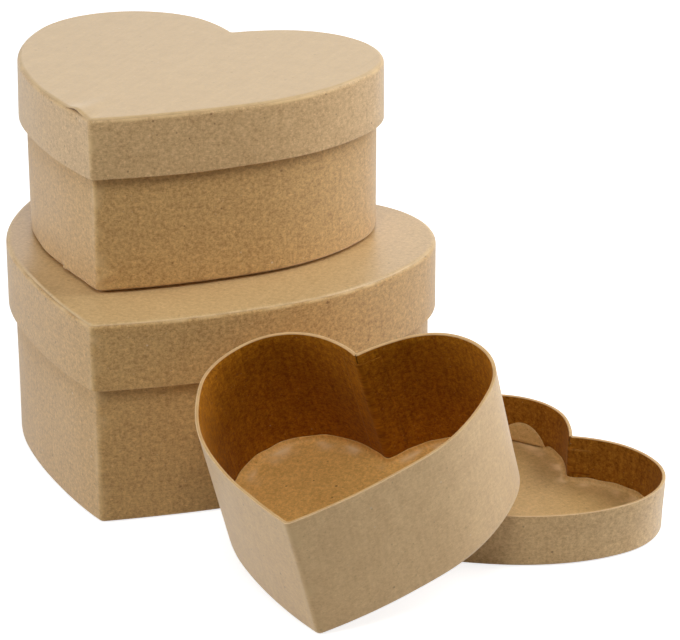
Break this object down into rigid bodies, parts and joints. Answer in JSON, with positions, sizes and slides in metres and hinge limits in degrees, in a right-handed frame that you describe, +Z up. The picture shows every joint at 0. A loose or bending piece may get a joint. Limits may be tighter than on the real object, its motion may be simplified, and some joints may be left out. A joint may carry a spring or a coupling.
{
  "type": "valentine heart box",
  "caption": "Nesting heart-shaped gift boxes in kraft board with lift-off lids: closed boxes stacked, and an open base leaning on its upturned lid.",
  "frame": {"origin": "middle of the large heart's outline, on the surface that the large box stands on", "axes": "+Z up; the large heart points along -Y and has its cleft towards +Y; +X towards the small box"},
  "size_m": [0.2447, 0.2005, 0.1312],
  "materials": {
    "kraft_paper": "matte brown kraft paper with fine flecks",
    "kraft_board": "matte raw cut board, lighter at the edges",
    "lining_paper": "matte brown kraft paper, smoother than outside"
  },
  "bodies": {
    "large_base": {"large_base_wall": "kraft_board", "large_base_floor_panel": "kraft_board", "large_base_wrap": "kraft_paper", "large_base_cover": "kraft_paper", "large_base_liner": "lining_paper", "large_base_joint_tape": "lining_paper"},
    "large_lid": {"large_lid_rim": "kraft_board", "large_lid_top_panel": "kraft_board", "large_lid_wrap": "kraft_paper", "large_lid_cover": "kraft_paper", "large_lid_liner": "lining_paper", "large_lid_joint_tape": "lining_paper"},
    "medium_base": {"medium_base_wall": "kraft_board", "medium_base_floor_panel": "kraft_board", "medium_base_wrap": "kraft_paper", "medium_base_cover": "kraft_paper", "medium_base_liner": "lining_paper", "medium_base_joint_tape": "lining_paper"},
    "medium_lid": {"medium_lid_rim": "kraft_board", "medium_lid_top_panel": "kraft_board", "medium_lid_wrap": "kraft_paper", "medium_lid_cover": "kraft_paper", "medium_lid_liner": "lining_paper", "medium_lid_joint_tape": "lining_paper"},
    "small_base": {"small_base_wall": "kraft_board", "small_base_floor_panel": "kraft_board", "small_base_wrap": "kraft_paper", "small_base_cover": "kraft_paper", "small_base_liner": "lining_paper", "small_base_joint_tape": "lining_paper"},
    "small_lid": {"small_lid_rim": "kraft_board", "small_lid_top_panel": "kraft_board", "small_lid_wrap": "kraft_paper", "small_lid_cover": "kraft_paper", "small_lid_liner": "lining_paper", "small_lid_joint_tape": "lining_paper"}
  },
  "joints": [
    {"name": "large_lid_lift", "type": "slide", "parent": "large_base", "child": "large_lid", "axis": [0, 0, 1], "range_m": [0, 0.06]},
    {"name": "medium_base_lift", "type": "slide", "parent": "large_lid", "child": "medium_base", "axis": [0, 0, 1], "range_m": [0, 0.06]},
    {"name": "medium_lid_lift", "type": "slide", "parent": "medium_base", "child": "medium_lid", "axis": [0, 0, 1], "range_m": [0, 0.05]},
    {"name": "small_lid_lift", "type": "slide", "parent": "large_base", "child": "small_lid", "axis": [0, 0, 1], "range_m": [0, 0.05]},
    {"name": "small_base_lift", "type": "slide", "parent": "small_lid", "child": "small_base", "axis": [0, 0, 1], "range_m": [0, 0.06]}
  ]
}
